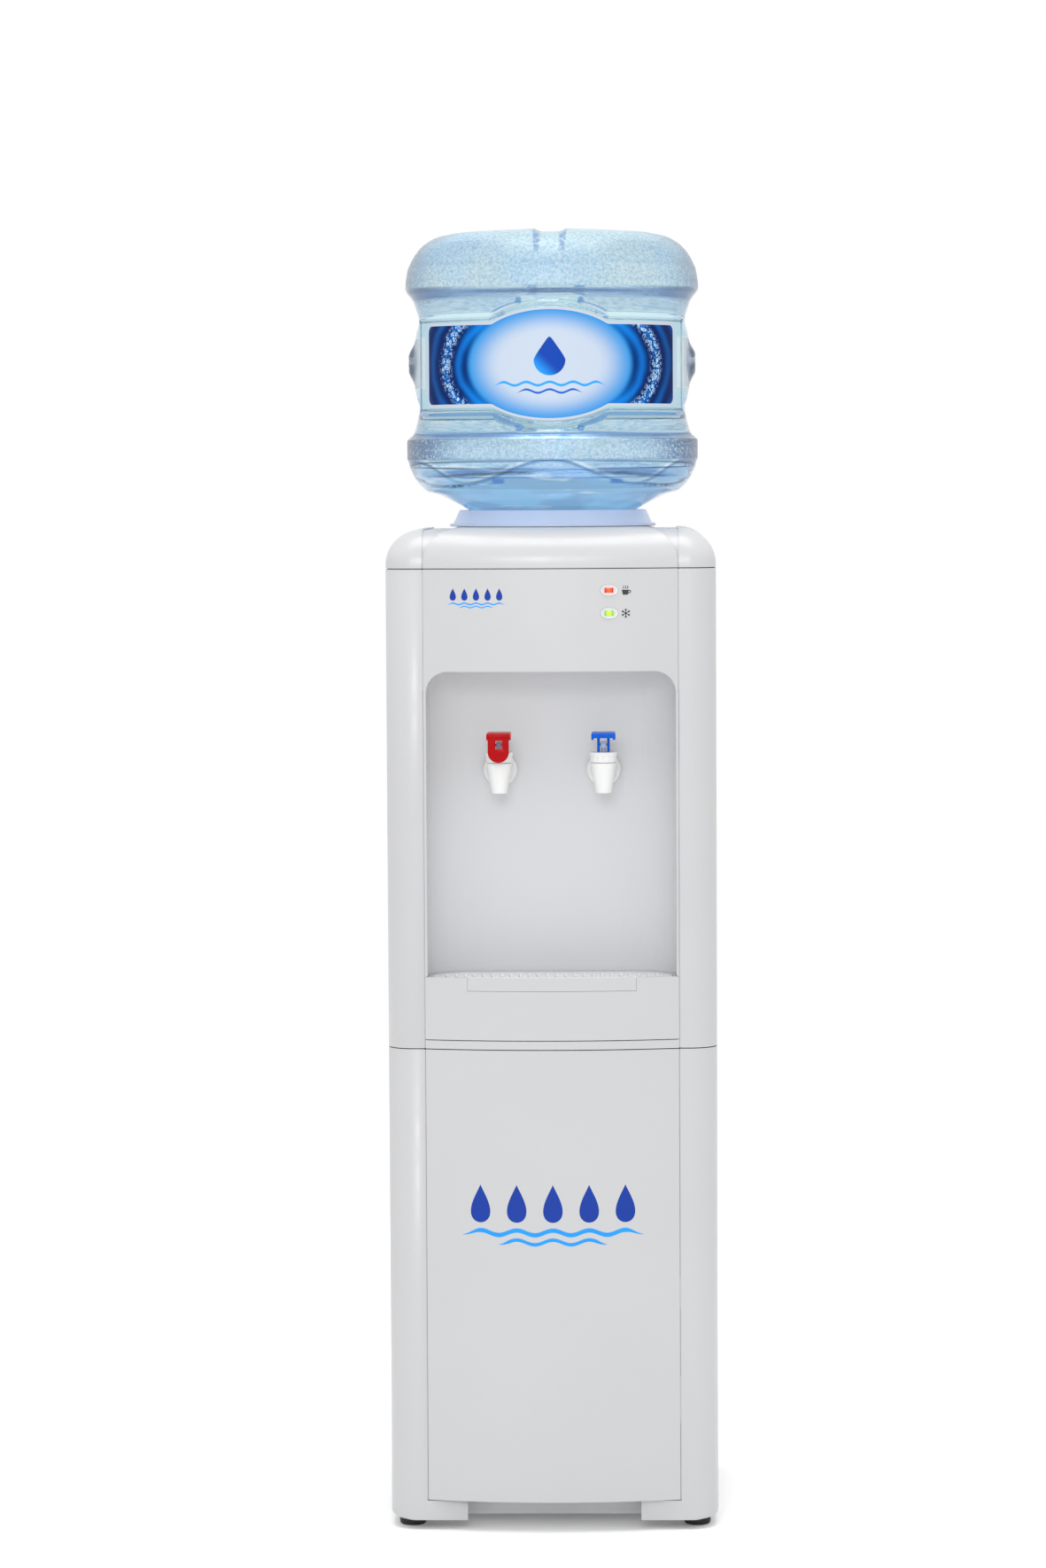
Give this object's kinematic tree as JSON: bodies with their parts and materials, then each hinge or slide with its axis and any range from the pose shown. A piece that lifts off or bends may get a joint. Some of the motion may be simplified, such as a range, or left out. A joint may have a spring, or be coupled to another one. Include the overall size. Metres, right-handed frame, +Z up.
{
  "type": "water dispenser",
  "caption": "Floor-standing hot and cold water dispenser with an inverted bottle, taps in a niche and a drip tray.",
  "frame": {"origin": "on the floor under the middle of the cabinet", "axes": "+Z up, the front with the taps faces -Y, +X to the right seen from the front"},
  "size_m": [0.31, 0.34, 1.2267],
  "materials": {
    "white_plastic": "smooth semi-gloss",
    "base_steel": "satin grey paint",
    "black_rubber": "matt",
    "black_plastic": "matt",
    "collar_plastic": "semi-gloss pale blue",
    "bottle_plastic": "clear pale blue polycarbonate",
    "cap_plastic": "satin",
    "label_film": "printed film",
    "hot_red": "gloss",
    "cold_blue": "gloss",
    "milky_plastic": "milky",
    "stainless": "satin",
    "zinc_steel": "zinc plated",
    "copper": "dull copper",
    "foam": "moulded foam",
    "black_paint": "satin black paint",
    "circuit": "lacquered",
    "red_lens": "lit lens",
    "green_lens": "lit lens"
  },
  "bodies": {
    "cabinet": {"base_plate": "base_steel", "foot_front_left": "black_rubber", "foot_front_right": "black_rubber", "foot_rear_left": "black_rubber", "foot_rear_right": "black_rubber", "left_side_panel_lower": "white_plastic", "left_side_panel_upper": "white_plastic", "right_side_panel_lower": "white_plastic", "right_side_panel_upper": "white_plastic", "lower_front_panel": "white_plastic", "upper_front_panel": "white_plastic", "top_cover": "white_plastic", "back_panel": "zinc_steel", "bottle_collar": "collar_plastic", "feed_seat": "milky_plastic", "cold_tank": "stainless", "evaporator_coil": "copper", "tank_insulation": "foam", "tank_shelf": "zinc_steel", "hot_tank": "stainless", "hot_tank_jacket": "foam", "heater_band": "zinc_steel", "thermostat": "black_plastic", "compressor": "black_paint", "filter_drier": "copper", "discharge_line": "copper", "suction_line": "copper", "condenser": "black_paint", "switch_frame": "black_plastic", "cord_gland": "black_rubber", "drain_pipe": "milky_plastic", "indicator_board": "circuit", "heating_lens": "red_lens", "cooling_lens": "green_lens", "hot_tap_body": "white_plastic", "hot_tap_cap": "white_plastic", "hot_tap_nut": "black_plastic", "hot_tap_spring": "stainless", "cold_tap_body": "white_plastic", "cold_tap_cap": "white_plastic", "cold_tap_nut": "black_plastic", "cold_tap_spring": "stainless", "hot_feed_tube": "milky_plastic", "cold_feed_tube": "milky_plastic"},
    "bottle": {"bottle": "bottle_plastic", "bottle_cap": "cap_plastic", "bottle_label": "label_film"},
    "drip_tray": {"drip_tray": "white_plastic"},
    "drip_grid": {"drip_grid": "white_plastic"},
    "hot_stem": {"hot_tap_stem": "milky_plastic", "hot_lever_pin": "stainless"},
    "hot_lever": {"hot_tap_lever": "hot_red"},
    "hot_flap": {"hot_safety_flap": "hot_red"},
    "cold_stem": {"cold_tap_stem": "milky_plastic", "cold_lever_pin": "stainless"},
    "cold_lever": {"cold_tap_lever": "cold_blue"},
    "hot_rocker": {"hot_rocker": "hot_red"},
    "cold_rocker": {"cold_rocker": "green_lens"},
    "drain_cap": {"drain_cap": "black_plastic"}
  },
  "joints": [
    {"name": "bottle_lift", "type": "slide", "parent": "cabinet", "child": "bottle", "axis": [0, 0, 1], "range_m": [0, 0.095]},
    {"name": "drip_tray_slide", "type": "slide", "parent": "cabinet", "child": "drip_tray", "axis": [0, -1, 0], "range_m": [0, 0.075]},
    {"name": "drip_grid_lift", "type": "slide", "parent": "drip_tray", "child": "drip_grid", "axis": [0, 0, 1], "range_m": [0, 0.03]},
    {"name": "hot_stem_lift", "type": "slide", "parent": "cabinet", "child": "hot_stem", "axis": [0, 0, 1], "range_m": [0, 0.00306], "deforming": ["hot_tap_spring"]},
    {"name": "hot_lever_press", "type": "hinge", "parent": "hot_stem", "child": "hot_lever", "pos_m": [-0.049, -0.138, 0.7411], "axis": [1, 0, 0], "range_deg": [0, 25], "stiffness_Nm_per_rad": 0.12, "springref_deg": -17.19},
    {"name": "hot_flap_swing", "type": "hinge", "parent": "hot_lever", "child": "hot_flap", "pos_m": [-0.049, -0.1651, 0.7508], "axis": [-1, 0, 0], "range_deg": [0, 90]},
    {"name": "cold_stem_lift", "type": "slide", "parent": "cabinet", "child": "cold_stem", "axis": [0, 0, 1], "range_m": [0, 0.00306], "deforming": ["cold_tap_spring"]},
    {"name": "cold_lever_press", "type": "hinge", "parent": "cold_stem", "child": "cold_lever", "pos_m": [0.049, -0.138, 0.7411], "axis": [1, 0, 0], "range_deg": [0, 25], "stiffness_Nm_per_rad": 0.12, "springref_deg": -17.19},
    {"name": "hot_switch", "type": "hinge", "parent": "cabinet", "child": "hot_rocker", "pos_m": [-0.10625, 0.1535, 0.8], "axis": [-1, 0, 0], "range_deg": [0, 16]},
    {"name": "cold_switch", "type": "hinge", "parent": "cabinet", "child": "cold_rocker", "pos_m": [-0.08375, 0.1535, 0.8], "axis": [-1, 0, 0], "range_deg": [0, 16]},
    {"name": "drain_cap_turn", "type": "hinge", "parent": "cabinet", "child": "drain_cap", "pos_m": [0.118, 0.1553, 0.505], "axis": [0, 1, 0], "continuous": true}
  ],
  "couplings": [
    {"joint": "hot_stem_lift", "follows": "hot_lever_press", "m_per_rad": 0.007},
    {"joint": "cold_stem_lift", "follows": "cold_lever_press", "m_per_rad": 0.007}
  ]
}
